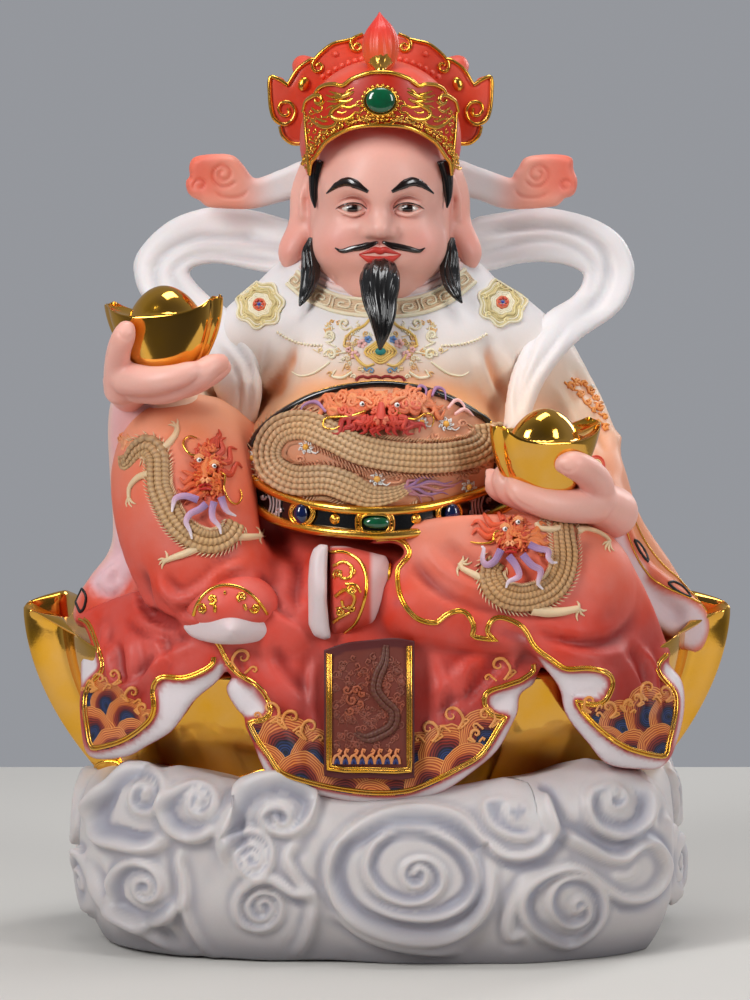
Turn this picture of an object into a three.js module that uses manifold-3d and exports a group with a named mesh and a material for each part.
// Seated wealth figure on an ingot seat and a cloud base, in millimetres, +Z up.
// The figure looks along -Y, its right hand is at -X, and it stands on z = 0.
import * as THREE from 'three';
import { mergeVertices } from 'three/addons/utils/BufferGeometryUtils.js';
import Module from 'manifold-3d';

// Driving dimensions
const FIGURE_HEIGHT = 354; // from the top of the cloud base to the tip of the finial
const BASE_HEIGHT = 76; // the cloud base without the curls that lap over the seat
const BASE_WIDTH = 288;
const BASE_DEPTH = 202;
const CLOUD_RELIEF = 7; // how far the cloud curls stand proud
const SEAT_WIDTH = 332; // the ingot seat from ear to ear
const SEAT_DEPTH = 166;
const SEAT_RISE = 77; // from the clouds to the tips of the ears
const SEAT_SINK = 8; // how deep the seat is bedded in the clouds
const HAND_INGOT_LENGTH = 56;
const HAND_INGOT_DEPTH = 31;
const HAND_INGOT_HEIGHT = 33; // without the dome in its middle
const HAT_STONE_WIDTH = 14;
const HAT_STONE_HEIGHT = 11.5;
const BELT_CENTRE_WIDTH = 13;
const BELT_CENTRE_HEIGHT = 5.6;
const BELT_SIDE_WIDTH = 8.4;
const BELT_SIDE_HEIGHT = 9.4;
const STONE_DEPTH = 5; // front to back, half of it bedded
const CLOTH = 4; // thickness of a hanging hem
const SCARF_WIDTH = 23;
const SCARF_THICKNESS = 10;
const FIT_GAP = 0.4; // air between a loose or inset piece and its bed

// The figure is drawn at this height over a base of this height, and scaled from there.
const DRAWN_FIGURE = 354;
const DRAWN_BASE = 76;
const UNIT = FIGURE_HEIGHT / DRAWN_FIGURE;
const SLIVER = 0.65; // joins of the casting are kept to within this
const SEAM = 0.05; // and the cuts for its loose and inset pieces to within this

const wasm = await Module();
wasm.setup();

function at(x, y, z) {
  return new THREE.Vector3(x * UNIT, y * UNIT, BASE_HEIGHT + (z - DRAWN_BASE) * UNIT);
}

// Solids

function weld(geometry) {
  geometry.deleteAttribute('normal');
  geometry.deleteAttribute('uv');
  const merged = mergeVertices(geometry, 1e-4);
  const corner = merged.index.array;
  const kept = [];
  for (let i = 0; i < corner.length; i += 3) {
    const [a, b, c] = [corner[i], corner[i + 1], corner[i + 2]];
    if (a !== b && b !== c && c !== a) kept.push(a, b, c);
  }
  return { places: merged.attributes.position.array, corners: kept };
}

function enclosedVolume(places, corners) {
  const point = (k) => new THREE.Vector3().fromArray(places, k * 3);
  let sum = 0;
  for (let i = 0; i < corners.length; i += 3) {
    sum += point(corners[i]).dot(point(corners[i + 1]).cross(point(corners[i + 2])));
  }
  return sum / 6;
}

function solid(geometry) {
  const { places, corners } = weld(geometry);
  if (enclosedVolume(places, corners) < 0) corners.reverse();
  return new wasm.Manifold(new wasm.Mesh({
    numProp: 3,
    vertProperties: new Float32Array(places),
    triVerts: new Uint32Array(corners),
  }));
}

function joined(pieces) {
  return pieces.reduce((sum, piece) => sum.add(piece));
}

// A join can shut in small hollows, which the real casting doesn't have.
function solidParts(body) {
  return joined(body.decompose().filter((part) => part.volume() > 0));
}

// The joined body without the slivers along its seams and without shut in hollows.
function filled(body, sliver) {
  return solidParts(body.asOriginal().simplify(sliver)).asOriginal();
}

function geometryOf(body) {
  const mesh = body.getMesh();
  const geometry = new THREE.BufferGeometry();
  geometry.setAttribute('position', new THREE.BufferAttribute(mesh.vertProperties, 3));
  geometry.setIndex(new THREE.BufferAttribute(mesh.triVerts, 1));
  return geometry;
}

// A rounded mass with three half sizes, turned about its own centre.
function mass(centre, [rx, ry, rz], turn = [0, 0, 0], sides = 10, rings = 6) {
  const geometry = new THREE.SphereGeometry(1, sides, rings);
  geometry.rotateX(Math.PI / 2);
  geometry.scale(rx * UNIT, ry * UNIT, rz * UNIT);
  geometry.applyMatrix4(new THREE.Matrix4().makeRotationFromEuler(new THREE.Euler(...turn)));
  const place = at(...centre);
  geometry.translate(place.x, place.y, place.z);
  return solid(geometry);
}

// A round or flat limb through stations of [x, y, z, half width, half thickness].
// Its width lies across the path and square to the given face direction.
function limb(stations, { sides = 6, rings = 7, face = [0, 1, 0], points = null } = {}) {
  const path = new THREE.CatmullRomCurve3(
    points ?? stations.map(([x, y, z]) => at(x, y, z)), false, 'centripetal');
  const size = (t, k) => {
    const place = Math.min(t * (stations.length - 1), stations.length - 1 - 1e-9);
    const i = Math.floor(place);
    const value = (s) => (s[k] ?? s[3]);
    return THREE.MathUtils.lerp(value(stations[i]), value(stations[i + 1]), place - i) * UNIT;
  };
  const round = 2 / rings;
  const toFace = new THREE.Vector3(...face).normalize();
  const geometry = new THREE.SphereGeometry(1, sides, rings);
  const position = geometry.attributes.position;
  for (let ring = 0; ring <= rings; ring += 1) {
    const t = ring / rings;
    const near = Math.max(0, 1 - t / round, 1 - (1 - t) / round);
    const swell = Math.sqrt(Math.max(0, 1 - near * near));
    const along = path.getTangent(t);
    const across = new THREE.Vector3().crossVectors(toFace, along).normalize();
    const outward = new THREE.Vector3().crossVectors(along, across).normalize();
    const middle = path.getPoint(t);
    for (let side = 0; side <= sides; side += 1) {
      const angle = ((side % sides) / sides) * 2 * Math.PI;
      const spot = middle.clone()
        .addScaledVector(across, Math.cos(angle) * size(t, 3) * swell)
        .addScaledVector(outward, Math.sin(angle) * size(t, 4) * swell);
      position.setXYZ(ring * (sides + 1) + side, spot.x, spot.y, spot.z);
    }
  }
  return solid(geometry);
}

// A bent plate: front(u, v) is its face for u and v from 0 to 1, and back(u, v) its rear.
function plate(front, back, across = 8, down = 6) {
  const geometry = new THREE.BoxGeometry(1, 1, 1, across, down, 1);
  const position = geometry.attributes.position;
  for (let i = 0; i < position.count; i += 1) {
    const u = position.getX(i) + 0.5;
    const v = position.getY(i) + 0.5;
    const spot = position.getZ(i) > 0 ? front(u, v) : back(u, v);
    position.setXYZ(i, spot.x, spot.y, spot.z);
  }
  return solid(geometry);
}

function curveOf(stations) {
  return new THREE.CatmullRomCurve3(stations.map((s) => at(...s)), false, 'centripetal');
}

// A hanging cloth between a left and a right edge, both listed from top to bottom.
function hanging(left, right, { bulge = 6, droop = 0, folds = 0, depth = 2,
  inward = 1, across = 9 } = {}) {
  const [leftEdge, rightEdge] = [curveOf(left), curveOf(right)];
  const front = (u, v) => {
    const spot = leftEdge.getPoint(v).lerp(rightEdge.getPoint(v), u);
    const swell = Math.sin(Math.PI * u);
    const fold = depth * Math.sin(2 * Math.PI * folds * u) * swell * Math.min(1, 2 * v);
    spot.y -= inward * (bulge * swell + fold) * UNIT;
    spot.z -= droop * swell * v * UNIT;
    return spot;
  };
  const back = (u, v) => front(u, v).add(new THREE.Vector3(0, inward * CLOTH, 0));
  return plate(front, back, across, 3);
}

// Cloud base

const BASE_POWER = 3.1; // plan between an ellipse and a rectangle

function baseSwell(share) {
  return 0.9 + 0.1 * Math.sin(Math.PI * (0.12 + 0.86 * share) ** 0.8);
}

function baseSpot(angle, height, proud = 0) {
  const bend = (value) => Math.sign(value) * Math.abs(value) ** (2 / BASE_POWER);
  const swell = baseSwell(height / BASE_HEIGHT);
  const half = [BASE_WIDTH / 2 - CLOUD_RELIEF + proud, BASE_DEPTH / 2 - CLOUD_RELIEF + proud];
  return new THREE.Vector3(
    half[0] * swell * bend(Math.cos(angle)), half[1] * swell * bend(Math.sin(angle)), height);
}

function baseBody() {
  const [sides, levels] = [36, 3];
  const geometry = new THREE.CylinderGeometry(1, 1, 1, sides, levels);
  const position = geometry.attributes.position;
  for (let i = 0; i < position.count; i += 1) {
    const [x, y, z] = [position.getX(i), position.getY(i), position.getZ(i)];
    const height = (y + 0.5) * BASE_HEIGHT;
    const inside = Math.hypot(x, z) < 0.5;
    const spot = inside ? new THREE.Vector3(0, 0, height) : baseSpot(Math.atan2(z, x), height);
    position.setXYZ(i, spot.x, spot.y, spot.z);
  }
  return solid(geometry);
}

// A spiral roll of cloud on the wall of the base, round a plan angle and a height.
function curl(angle, height, radius, { turns = 1.3, start = 0, hand = 1, stretch = 1 } = {}) {
  const step = 0.01;
  const speed = baseSpot(angle + step, height).distanceTo(baseSpot(angle, height)) / step;
  const [points, stations, count] = [[], [], 10];
  for (let i = 0; i <= count; i += 1) {
    const t = i / count;
    const reach = radius * (0.82 - 0.72 * t);
    const turned = start + hand * 2 * Math.PI * turns * t;
    const sideways = reach * stretch * Math.cos(turned);
    const level = Math.max(height + reach * Math.sin(turned), CLOUD_RELIEF);
    points.push(baseSpot(angle + sideways / speed, level));
    const thick = radius * (0.3 - 0.1 * t);
    stations.push([0, 0, 0, thick, Math.min(thick * 1.2, CLOUD_RELIEF * (0.7 + 0.3 * t))]);
  }
  const outward = baseSpot(angle, height, 1).sub(baseSpot(angle, height));
  return limb(stations, { points, sides: 4, rings: Math.round(7.5 * turns), face: outward.toArray() });
}

function frontAngle(x) {
  const share = Math.min(Math.abs(x) / (BASE_WIDTH / 2 - CLOUD_RELIEF), 1);
  const angle = Math.acos(share ** (BASE_POWER / 2));
  return x < 0 ? -Math.PI + angle : -angle;
}

// Cloud curls as [x on the front, height, radius, options], then [plan angle, ...] behind.
const FRONT_CURLS = [
  [-108, 62, 21, { hand: -1, start: 2.2, turns: 1.1 }],
  [-79, 64, 15, { hand: -1, start: 3.6 }],
  [-40, 60, 25, { hand: -1, start: 3.4 }],
  [-56, 44, 12, { hand: 1, start: 0.5 }],
  [-103, 28, 20, { hand: -1, start: 3.0 }],
  [-50, 18, 15, { hand: 1, start: 0.4 }],
  [18, 38, 37, { hand: -1, start: 3.1, turns: 1.7, stretch: 1.1 }],
  [63, 62, 17, { hand: 1, start: 5.9 }],
  [106, 60, 22, { hand: 1, start: 3.6 }],
  [90, 25, 22, { hand: 1, start: 3.3, turns: 1.5 }],
];
const ROUND_CURLS = [
  [-0.16, 32, 19, { hand: 1, start: 2.6 }],
  [0.24, 56, 18, { hand: -1, start: 1.2 }],
  [-2.98, 56, 18, { hand: -1, start: 2.4 }],
  [2.86, 28, 20, { hand: 1, start: 0.8 }],
  [0.85, 34, 25, { hand: -1, start: 0.3 }],
  [1.5, 38, 31, { hand: 1, start: 2.8 }],
  [2.25, 36, 26, { hand: 1, start: 3.0 }],
];

// Cloud bands that flow between the curls, as [x, height, half width] on the front.
const CLOUD_BANDS = [
  [[-139, 40, 3], [-128, 24, 5], [-104, 8, 6], [-70, 8, 4]],
  [[-28, 30, 4], [-12, 10, 6], [24, 2, 6], [60, 8, 4]],
  [[-20, 56, 3], [10, 72, 4], [40, 66, 5], [52, 48, 4]],
  [[76, 44, 4], [96, 48, 5], [120, 40, 5], [132, 52, 3]],
];

function cloudBand(row) {
  const points = row.map(([x, height]) => baseSpot(frontAngle(x), height));
  const stations = row.map(([, , half]) => [0, 0, 0, half, CLOUD_RELIEF * 0.6]);
  return limb(stations, { points, sides: 4, rings: 7 });
}

function cloudBase() {
  const front = FRONT_CURLS.map(([x, ...rest]) => curl(frontAngle(x), ...rest));
  const round = ROUND_CURLS.map((one) => curl(...one));
  const below = new THREE.BoxGeometry(2 * BASE_WIDTH, 2 * BASE_DEPTH, BASE_HEIGHT);
  below.translate(0, 0, -BASE_HEIGHT / 2);
  return joined([baseBody(), ...front, ...round, ...CLOUD_BANDS.map(cloudBand)])
    .subtract(solid(below));
}

// Ingots

// A boat shaped ingot with raised ears, a dished top and a dome in the middle of it.
// Its foot is at z = 0.
function ingot(length, depth, height, { across = 8, deep = 4, levels = 2, saddle = 0.62,
  curve = 3.2, foot = 0.66, dome = 0, backRise = 0 } = {}) {
  const geometry = new THREE.BoxGeometry(1, 1, 1, across, deep, levels);
  const position = geometry.attributes.position;
  for (let i = 0; i < position.count; i += 1) {
    const [a, b, level] = [position.getX(i) * 2, position.getY(i) * 2, position.getZ(i) + 0.5];
    const round = 1 - 0.12 * (a * a * b) ** 2;
    const long = round * length * (foot + (1 - foot) * (1 - (1 - level) ** 2)) / 2;
    const plan = (1 - 0.82 * Math.abs(a) ** 2.6) ** 0.62;
    const half = depth * plan * (0.74 + 0.26 * level) / 2;
    const rim = height * (saddle + (1 - saddle) * Math.abs(a) ** curve) + backRise * (b + 1) / 2;
    const inside = 1 - b * b;
    const dish = level === 1 ? height * 0.13 * Math.sqrt(inside) * (1 - 0.35 * a * a) : 0;
    const bump = level === 1 ? dome * Math.max(0, 1 - (a / 0.5) ** 2 - (b / 0.75) ** 2) ** 0.5 : 0;
    position.setXYZ(i, a * long, b * half, level * rim - dish + bump);
  }
  return solid(geometry);
}

function seat() {
  const body = ingot(SEAT_WIDTH, SEAT_DEPTH, SEAT_RISE + SEAT_SINK,
    { across: 16, deep: 4, levels: 3, saddle: 0.62, curve: 7, foot: 0.75, backRise: 5 });
  return body.translate([0, 0, BASE_HEIGHT - SEAT_SINK]);
}

const HELD_INGOTS = {
  right_hand_ingot: { foot: [-94, -70, 268.5], turn: [2, -4.5, -14] },
  left_hand_ingot: { foot: [74, -77, 214], turn: [9, 0, 26] },
};

// A held ingot, or with air on every side the bed that is cut for it.
function heldIngot({ foot, turn }, air = 0) {
  const size = [HAND_INGOT_LENGTH, HAND_INGOT_DEPTH, HAND_INGOT_HEIGHT];
  const body = ingot(...size, { dome: HAND_INGOT_HEIGHT * 0.48, saddle: 0.8, foot: 0.54 });
  const larger = body.scale(size.map((length) => 1 + 2 * air / length));
  return larger.translate([0, 0, -air]).rotate(turn).translate(at(...foot).toArray());
}

// The bed also clears the dished top of the ingot.
function ingotBed(held) {
  const air = 2 * FIT_GAP;
  const bed = heldIngot(held, air);
  return bed.add(bed.translate([0, 0, 2 * air]));
}

// Robe, limbs and folds

function robe() {
  const body = [
    mass([1, 8, 232], [76, 54, 72], [0, 0, 0], 14, 8),
    limb([[-66, 10, 266, 30], [-30, 6, 276, 32], [30, 6, 276, 32], [70, 10, 266, 30]],
      { sides: 8 }),
    mass([1, -2, 150], [134, 72, 44], [0, 0, 0], 18, 6),
    mass([-1, -38, 229], [66, 50, 40], [-0.1, 0, 0], 16, 8),
  ];
  const limbs = [
    // upper and lower arms in their sleeves
    limb([[-50, 12, 282, 30], [-80, 12, 262, 28], [-100, -8, 240, 22], [-96, -48, 250, 14]]),
    limb([[52, 12, 282, 30], [82, 14, 255, 30], [98, -4, 226, 27], [102, -44, 208, 17]]),
    // the raised right knee and shin
    limb([[-60, -10, 205, 36], [-88, -42, 226, 33], [-84, -58, 196, 34], [-74, -70, 170, 26]],
      { sides: 9 }),
    // the left thigh, knee and folded shin
    limb([[30, -16, 178, 38], [72, -46, 182, 36], [84, -56, 176, 34], [46, -78, 168, 24],
      [14, -82, 172, 18]], { sides: 9, rings: 9 }),
    // hanging sleeves
    limb([[-100, -26, 250, 12, 12], [-116, -22, 205, 15, 14], [-121, -22, 170, 18, 17],
      [-118, -30, 150, 19, 12]], { face: [0, 1, 0] }),
    limb([[100, -34, 214, 16, 14], [118, -18, 178, 22, 13], [134, -14, 156, 22, 10],
      [142, -18, 146, 16, 6]], { face: [0, 1, 0] }),
  ];
  const hems = [
    hanging([[-137, -26, 166], [-139, -34, 142], [-137, -52, 118], [-131, -62, 92]],
      [[-70, -74, 160], [-72, -80, 142], [-76, -84, 128], [-84, -84, 112]],
      { bulge: 7, folds: 2 }),
    hanging([[-62, -74, 158], [-60, -86, 132], [-54, -92, 108], [-44, -93, 88]],
      [[60, -74, 158], [58, -86, 130], [48, -92, 108], [34, -93, 88]],
      { bulge: 6, droop: 12, folds: 3 }),
    hanging([[70, -76, 160], [76, -84, 142], [82, -86, 128], [92, -84, 110]],
      [[134, -26, 166], [140, -38, 142], [140, -50, 118], [132, -60, 92]],
      { bulge: 7, folds: 2 }),
    hanging([[-96, 22, 168], [-118, 36, 146], [-122, 46, 118], [-114, 54, 94]],
      [[98, 22, 168], [120, 36, 146], [124, 46, 118], [116, 54, 94]],
      { bulge: 34, droop: 10, folds: 4, inward: -1 }),
  ];
  const apron = hanging([[-22, -86, 152], [-23, -96, 128], [-23, -100, 104], [-23, -101, 86]],
    [[18, -86, 152], [18.5, -96, 128], [18.5, -100, 104], [18.5, -101, 85]],
    { bulge: 2, across: 4 });
  return joined([...body, ...limbs, ...hems, apron]);
}

// Fold ridges that lie on the robe, as [x, z, half width] along each fold.
const FOLDS = [
  [[-104, 176, 3], [-88, 160, 5], [-68, 150, 4]],
  [[-116, 158, 3], [-104, 142, 4], [-98, 124, 3]],
  [[-94, 156, 3], [-92, 138, 5], [-84, 126, 3]],
  [[-62, 188, 4], [-52, 176, 5], [-40, 168, 4]],
  [[-46, 150, 4], [-44, 132, 4], [-36, 112, 3]],
  [[30, 186, 3], [48, 160, 5], [78, 152, 4]],
  [[40, 172, 3], [60, 154, 5], [96, 150, 4]],
  [[12, 178, 4], [16, 160, 5], [34, 152, 5], [56, 146, 4], [80, 128, 4], [104, 130, 3]],
  [[112, 150, 3], [120, 134, 4], [124, 116, 3]],
  [[40, 140, 4], [36, 122, 4], [30, 104, 3]],
];

// Dragon bodies in relief, as [x, z, half width] from the neck to the tail.
const DRAGONS = [
  [[-72, 214, 6], [-62, 196, 6], [-72, 188, 7], [-86, 196, 7], [-92, 212, 7], [-96, 226, 6],
    [-108, 228, 5], [-116, 220, 2]],
  [[66, 188, 5], [86, 190, 6], [92, 180, 7], [86, 166, 7], [70, 160, 7], [54, 166, 6],
    [48, 176, 3]],
  [[30, 250, 8], [46, 240, 8], [30, 228, 9], [0, 226, 9], [-30, 232, 9], [-50, 224, 8],
    [-36, 213, 7], [0, 211, 5]],
];

// The frontmost point of a body at the place across and the height.
function pressedOn(target, x, z) {
  const aim = at(x, 0, z);
  const from = new THREE.Vector3(aim.x, -10 * BASE_DEPTH, aim.z);
  const ray = new THREE.Raycaster(from, new THREE.Vector3(0, 1, 0));
  return ray.intersectObject(target)[0].point;
}

function reliefOn(body, rows, { rings = 6, proud = 0.6, sides = 4 } = {}) {
  const target = new THREE.Mesh(geometryOf(body));
  return rows.map((row) => {
    const points = row.map(([x, z]) => pressedOn(target, x, z));
    const stations = row.map(([, , half]) => [0, 0, 0, half, half * proud]);
    return limb(stations, { points, sides, rings });
  });
}

// Belt with its rails, round the lower belly
function belt() {
  const rail = (z, half) => limb([[-60, -34, z + 12, half], [-48, -62, z + 6, half],
    [-26, -80, z, half], [0, -86, z - 2, half], [26, -80, z, half], [48, -62, z + 6, half],
    [60, -34, z + 12, half]], { rings: 10, face: [0, 0, 1], sides: 4 });
  const band = limb([[-60, -32, 214, 4, 7], [-48, -60, 208, 4, 7], [-26, -78, 202, 4, 7],
    [0, -83, 200, 4, 7], [26, -78, 202, 4, 7], [48, -60, 208, 4, 7], [60, -32, 214, 4, 7]],
  { rings: 10, face: [0, 0, 1], sides: 4 });
  return joined([band, rail(208, 2.4), rail(194, 2.4)]);
}

// Scarf, hands and feet

function scarfSide(side) {
  const path = side < 0
    ? [[-20, 20, 318], [-42, 24, 325], [-65, 32, 327], [-92, 35, 321], [-104, 34, 306],
      [-99, 28, 290], [-84, 14, 276], [-70, -14, 262], [-61, -38, 243], [-54, -56, 222]]
    : [[20, 20, 318], [50, 24, 325], [77, 34, 327], [102, 35, 318], [111, 34, 303],
      [102, 28, 285], [86, 10, 269], [72, -20, 254], [66, -36, 240], [62, -44, 226]];
  const stations = path.map((spot) => [...spot]);
  const half = [SCARF_WIDTH / 2 / UNIT, SCARF_THICKNESS / 2 / UNIT];
  stations.forEach((station) => station.push(...half));
  return limb(stations, { rings: 18, sides: 6 });
}

const FINGER = { sides: 5, rings: 5 };

function hands() {
  return [
    // right hand: palm, four fingers under the ingot and the thumb beside it
    mass([-92, -62, 263], [22, 15, 9], [0, 0, 0.1], 10, 6),
    limb([[-112, -66, 262, 6], [-117, -74, 272, 5], [-115, -80, 284, 4.4], [-112, -82, 291, 3.4]], FINGER),
    limb([[-104, -72, 262, 5], [-90, -82, 263, 5], [-78, -84, 268, 4.2], [-71, -82, 272, 3.4]], FINGER),
    limb([[-98, -70, 259, 5], [-84, -80, 259, 5], [-73, -80, 264, 4.2], [-67, -76, 270, 3.4]], FINGER),
    limb([[-94, -62, 257, 5], [-78, -70, 258, 5], [-68, -70, 264, 4.2], [-63, -66, 270, 3.4]], FINGER),
    limb([[-90, -54, 258, 5], [-76, -58, 260, 5], [-66, -58, 266, 4], [-62, -56, 272, 3.2]], FINGER),
    limb([[-94, -40, 244, 13], [-93, -52, 254, 11], [-92, -60, 262, 10]], { rings: 5 }),
    // left hand
    mass([80, -70, 209], [22, 14, 9], [0, -0.2, 0], 10, 6),
    limb([[98, -70, 212, 7], [101, -80, 220, 6], [96, -88, 226, 5], [90, -91, 227, 4]], FINGER),
    limb([[78, -76, 205, 5.4], [64, -86, 206, 5.2], [55, -88, 213, 4.4], [51, -86, 221, 3.4]], FINGER),
    limb([[76, -70, 203, 5.4], [60, -78, 206, 5.2], [52, -78, 214, 4.4], [49, -76, 222, 3.4]], FINGER),
    limb([[76, -62, 204, 5.4], [61, -68, 207, 5.2], [53, -68, 215, 4.4], [50, -66, 223, 3.4]], FINGER),
    limb([[102, -44, 208, 13], [97, -56, 206, 11], [88, -66, 208, 10]], { rings: 5 }),
  ];
}

function feet() {
  return [
    mass([-65, -88, 160], [20, 16, 12], [0.25, 0, 0], 12, 6),
    mass([-65, -92, 152], [20, 15, 5], [0.25, 0, 0], 12, 5),
    mass([-27, -86, 170], [4.6, 16, 21], [0, 0, 0.06], 10, 6),
    limb([[-24, -86, 170, 19, 15], [-10, -85, 170, 19, 15], [6, -80, 171, 18, 14]],
      { face: [0, 1, 0], rings: 5 }),
  ];
}

// Head, hair and beard

const HEAD = [1.4, -8, 334];

// Brow, closed lid and half of the moustache, as [x, z, half width] from the middle out.
const FEATURES = [
  [[6, 15, 1.4], [14, 18, 1.8], [23, 14, 1]],
  [[7, 7, 1], [13.5, 8, 2.2], [20, 7, 1]],
  [[1.5, -10, 1.4], [10, -12, 1.7], [19, -13, 1]],
];

function head() {
  const [x, y, z] = HEAD;
  const skull = joined([
    mass(HEAD, [33.2, 35, 36], [0, 0, 0], 12, 8),
    mass([x, y - 6, z - 13], [27, 27, 17]),
  ]);
  const rows = [-1, 1].flatMap((side) => FEATURES.map(
    (row) => row.map(([dx, dz, half]) => [x + side * dx, z + dz, half])));
  const both = [-1, 1].flatMap((side) => [
    // ear with its lobe, and the lock of hair in front of it
    limb([[x + side * 31, y + 8, z + 18, 5, 6], [x + side * 33, y + 6, z + 8, 5, 7],
      [x + side * 34, y + 4, z - 4, 5, 6], [x + side * 39, y + 2, z - 14, 5, 5]],
    { rings: 6, sides: 6 }),
    limb([[x + side * 30, y - 12, z - 7, 3, 3], [x + side * 34, y - 14, z - 22, 4, 3],
      [x + side * 37, y - 15, z - 38, 0.8, 0.8]], { rings: 6, sides: 5 }),
  ]);
  return [
    skull,
    ...reliefOn(skull, rows, { rings: 4 }),
    limb([[x, 8, 284, 26], [x, 4, 312, 22]], { rings: 4, sides: 10 }),
    // nose, and the lower lip under it
    limb([[x, y - 33, z + 10, 2.6], [x, y - 36, z - 1, 3.4], [x, y - 38, z - 6, 4.6]],
      { rings: 5, sides: 6 }),
    mass([x, y - 33, z - 16.5], [7.5, 3.4, 2.2], [0, 0, 0], 8, 5),
    // chin beard
    limb([[x, y - 29, z - 20, 8, 5], [x, y - 40, z - 32, 9.4, 6], [x, y - 46, z - 44, 6.4, 5],
      [x, y - 47, z - 57, 0.8, 0.8]], { rings: 8, sides: 7 }),
    ...both,
    // collar
    limb([[-44, 12, 309, 6, 7], [-37, -22, 301, 6, 7], [-18, -40, 295, 6, 7], [1.4, -45, 293, 6, 7],
      [21, -40, 295, 6, 7], [40, -22, 301, 6, 7], [47, 12, 309, 6, 7]],
    { rings: 10, face: [0, 0, 1], sides: 4 }),
  ];
}

// Hat

function crownOutline() {
  const shape = new THREE.Shape();
  shape.moveTo(0, -46);
  shape.lineTo(34, -46);
  shape.quadraticCurveTo(44, -56, 47, -44);
  shape.quadraticCurveTo(52, -30, 44, -24);
  shape.lineTo(53, -21);
  shape.quadraticCurveTo(46, -18, 40, -24);
  shape.quadraticCurveTo(38, -10, 28, -13);
  shape.quadraticCurveTo(22, -2, 13, -6);
  shape.quadraticCurveTo(6, 2, 0, 0);
  return shape;
}

function crownPlate() {
  const half = crownOutline().getPoints(2);
  const other = half.slice(1, -1).reverse().map((p) => new THREE.Vector2(-p.x, p.y));
  const shape = new THREE.Shape([...half, ...other].map((p) => p.multiplyScalar(UNIT)));
  const geometry = new THREE.ExtrudeGeometry(shape, { depth: 5 * UNIT, bevelEnabled: false });
  geometry.rotateX(Math.PI / 2);
  const place = at(2, 16, 420);
  geometry.translate(place.x, place.y, place.z);
  return solid(geometry);
}

function turned(profile, centre, sides = 14) {
  const points = profile.map(([radius, z]) => new THREE.Vector2(radius * UNIT, z * UNIT));
  const geometry = new THREE.LatheGeometry(points, sides);
  geometry.rotateX(Math.PI / 2);
  const place = at(...centre);
  geometry.translate(place.x, place.y, place.z);
  return solid(geometry);
}

// The front plate of the hat, bowed round the brow, higher in the middle.
function browPlate() {
  const spot = (u, v, back) => {
    const a = (u * 2 - 1) * 1.45;
    const edge = (u * 2 - 1) ** 2;
    const [low, high] = [376 - 21 * edge, 402 - 14 * edge - 3 * Math.abs(Math.sin(2 * a))];
    const reach = 37 + 3 * v - back;
    return at(1.6 + reach * Math.sin(a), -10 - reach * Math.cos(a) * 1.06, low + (high - low) * v);
  };
  return plate((u, v) => spot(u, v, 0), (u, v) => spot(u, v, 7), 10, 2);
}

function hat() {
  const both = [-1, 1].flatMap((side) => {
    const x = side < 0 ? -1 : 5;
    return [
      // wing with a cloud shaped tip
      limb([[side * 16, 2, 345, 5, 4], [side * 48, 12, 349, 5, 3], [x + side * 64, 14, 352, 7, 4],
        [x + side * 76, 14, 353, 11, 5], [x + side * 86, 14, 352, 10, 4]], { rings: 9 }),
      mass([x + side * 71, 13, 355], [11, 5, 9], [0, 0, 0], 8, 5),
      mass([x + side * 84, 13, 349], [8, 4.6, 7], [0, 0, 0], 8, 5),
    ];
  });
  return [
    mass([1.6, -4, 372], [37, 38, 37], [0, 0, 0], 12, 6),
    crownPlate(),
    browPlate(),
    turned([[0, 0], [5, 1], [8.6, 7], [7.6, 13], [3.4, 20], [0, 27]], [1.4, -14, 403], 8),
    mass([1.6, -52, 390], [9.4, 5, 8], [0, 0, 0], 12, 6),
    ...both,
  ];
}

// Inset stones

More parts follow.
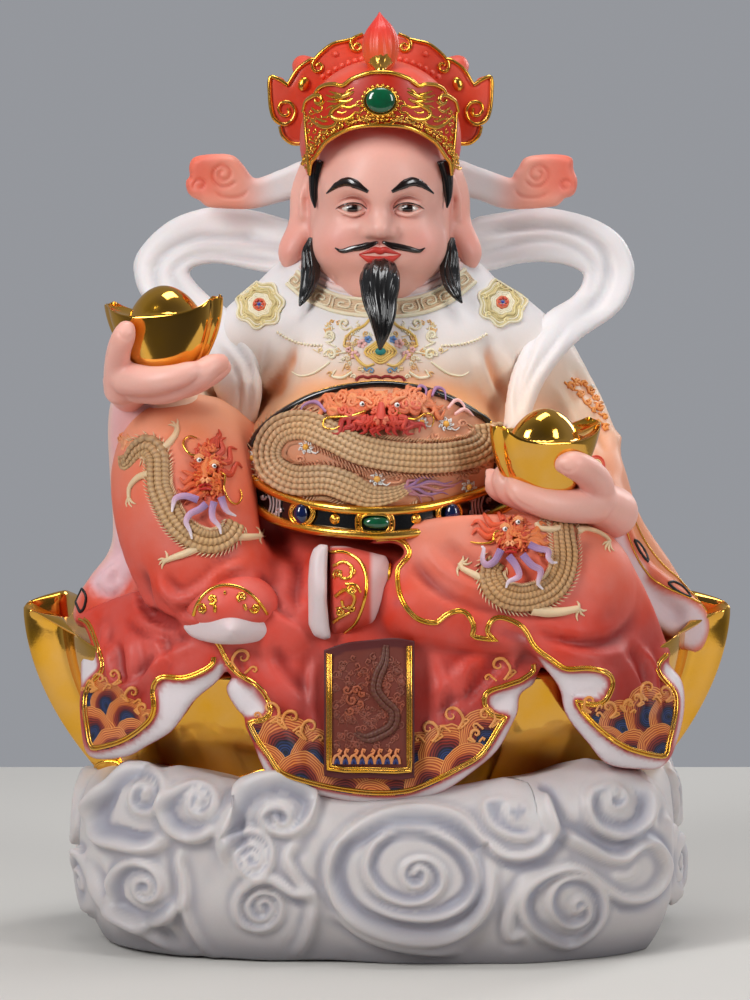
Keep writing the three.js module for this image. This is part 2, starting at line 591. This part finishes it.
const STONES = {
  hat_stone: {
    centre: [1.6, -57, 390], size: [HAT_STONE_WIDTH, STONE_DEPTH, HAT_STONE_HEIGHT], turn: 0,
    colour: 0x0f5a36,
  },
  belt_stone_centre: {
    centre: [0, -88, 200.5], size: [BELT_CENTRE_WIDTH, STONE_DEPTH, BELT_CENTRE_HEIGHT], turn: 0,
    colour: 0x12603a,
  },
  belt_stone_right: {
    centre: [-34, -77, 203.5], size: [BELT_SIDE_WIDTH, STONE_DEPTH, BELT_SIDE_HEIGHT], turn: -0.45,
    colour: 0x14213c,
  },
  belt_stone_left: {
    centre: [34, -77, 203.5], size: [BELT_SIDE_WIDTH, STONE_DEPTH, BELT_SIDE_HEIGHT], turn: 0.45,
    colour: 0x14213c,
  },
};

function stone({ centre, size, turn }, grow = 0) {
  const geometry = new THREE.SphereGeometry(1, 8, 5);
  geometry.rotateX(Math.PI / 2);
  geometry.scale(...size.map((length) => length / 2 + grow));
  geometry.rotateZ(turn);
  const place = at(...centre);
  geometry.translate(place.x, place.y, place.z);
  return solid(geometry);
}

// A raised mount round each belt stone, so that its bed is closed all round.
function stoneMounts() {
  return Object.values(STONES).slice(1).map(({ centre, size, turn }) => {
    const [x, y, z] = centre;
    const rim = 2 / UNIT;
    return mass([x, y + 2, z], [size[0] / 2 + rim, 3.2, size[2] / 2 + rim], [0, 0, turn], 8, 4);
  });
}

function casting() {
  let body = filled(joined([cloudBase(), seat(), robe()]), SLIVER);
  body = joined([body, ...reliefOn(body, FOLDS)]);
  body = joined([body, ...reliefOn(body, DRAGONS, { rings: 13, sides: 5 })]);
  body = joined([body, belt(), ...stoneMounts(), scarfSide(-1), scarfSide(1)]);
  body = filled(joined([body, ...head(), ...hat(), ...hands(), ...feet()]), SLIVER);
  for (const held of Object.values(HELD_INGOTS)) body = body.subtract(ingotBed(held));
  for (const one of Object.values(STONES)) body = body.subtract(stone(one, FIT_GAP));
  return filled(body, SEAM);
}

// Scene

const model = new THREE.Group();

function show(name, body, colour, roughness, metalness) {
  const material = new THREE.MeshStandardMaterial({ color: colour, roughness, metalness });
  const mesh = new THREE.Mesh(geometryOf(body), material);
  mesh.name = name;
  model.add(mesh);
}

show('casting', casting(), 0xe9b59a, 0.4, 0);
for (const [name, held] of Object.entries(HELD_INGOTS)) {
  show(name, heldIngot(held), 0xd49a2e, 0.12, 1);
}
for (const [name, one] of Object.entries(STONES)) {
  show(name, stone(one), one.colour, 0.08, 0);
}

export default model;
